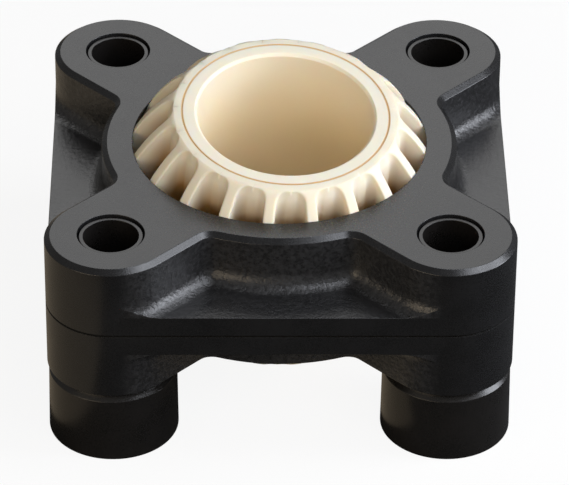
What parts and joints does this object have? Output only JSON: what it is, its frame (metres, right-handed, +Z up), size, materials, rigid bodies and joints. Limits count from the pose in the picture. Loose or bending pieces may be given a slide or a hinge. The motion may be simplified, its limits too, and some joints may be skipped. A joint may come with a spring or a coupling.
{
  "type": "four-bolt flange bearing",
  "caption": "Square flange bearing with a swivelling ribbed ball and plain liner in a split plastic housing, raised on spacer feet at its bolt holes.",
  "frame": {"origin": "on the mounting plane under the feet, below the ball's centre", "axes": "+Z up, away from the mounting plane; X and Y along the sides of the square bolt pattern; the ball leans mostly towards -Y"},
  "size_m": [0.1046, 0.1046, 0.0655],
  "materials": {
    "housing": "fine moulded grain, dark grey",
    "spacer": "fine moulded grain, dark grey",
    "ball": "smooth satin cream",
    "liner": "smooth satin cream"
  },
  "bodies": {
    "housing": {"upper_housing": "housing", "lower_housing": "housing", "spacer_front_left": "spacer", "spacer_front_right": "spacer", "spacer_rear_left": "spacer", "spacer_rear_right": "spacer"},
    "ball": {"ball": "ball"},
    "liner": {"liner": "liner"}
  },
  "joints": [
    {"name": "ball_tilt", "type": "hinge", "parent": "housing", "child": "ball", "pos_m": [0, 0, 0.0343], "axis": [0.9521, 0.3057, 0], "range_deg": [-24.2, 5.8]},
    {"name": "liner_spin", "type": "hinge", "parent": "ball", "child": "liner", "pos_m": [0, 0, 0.0343], "axis": [0.0489, -0.1522, 0.9871], "continuous": true}
  ]
}
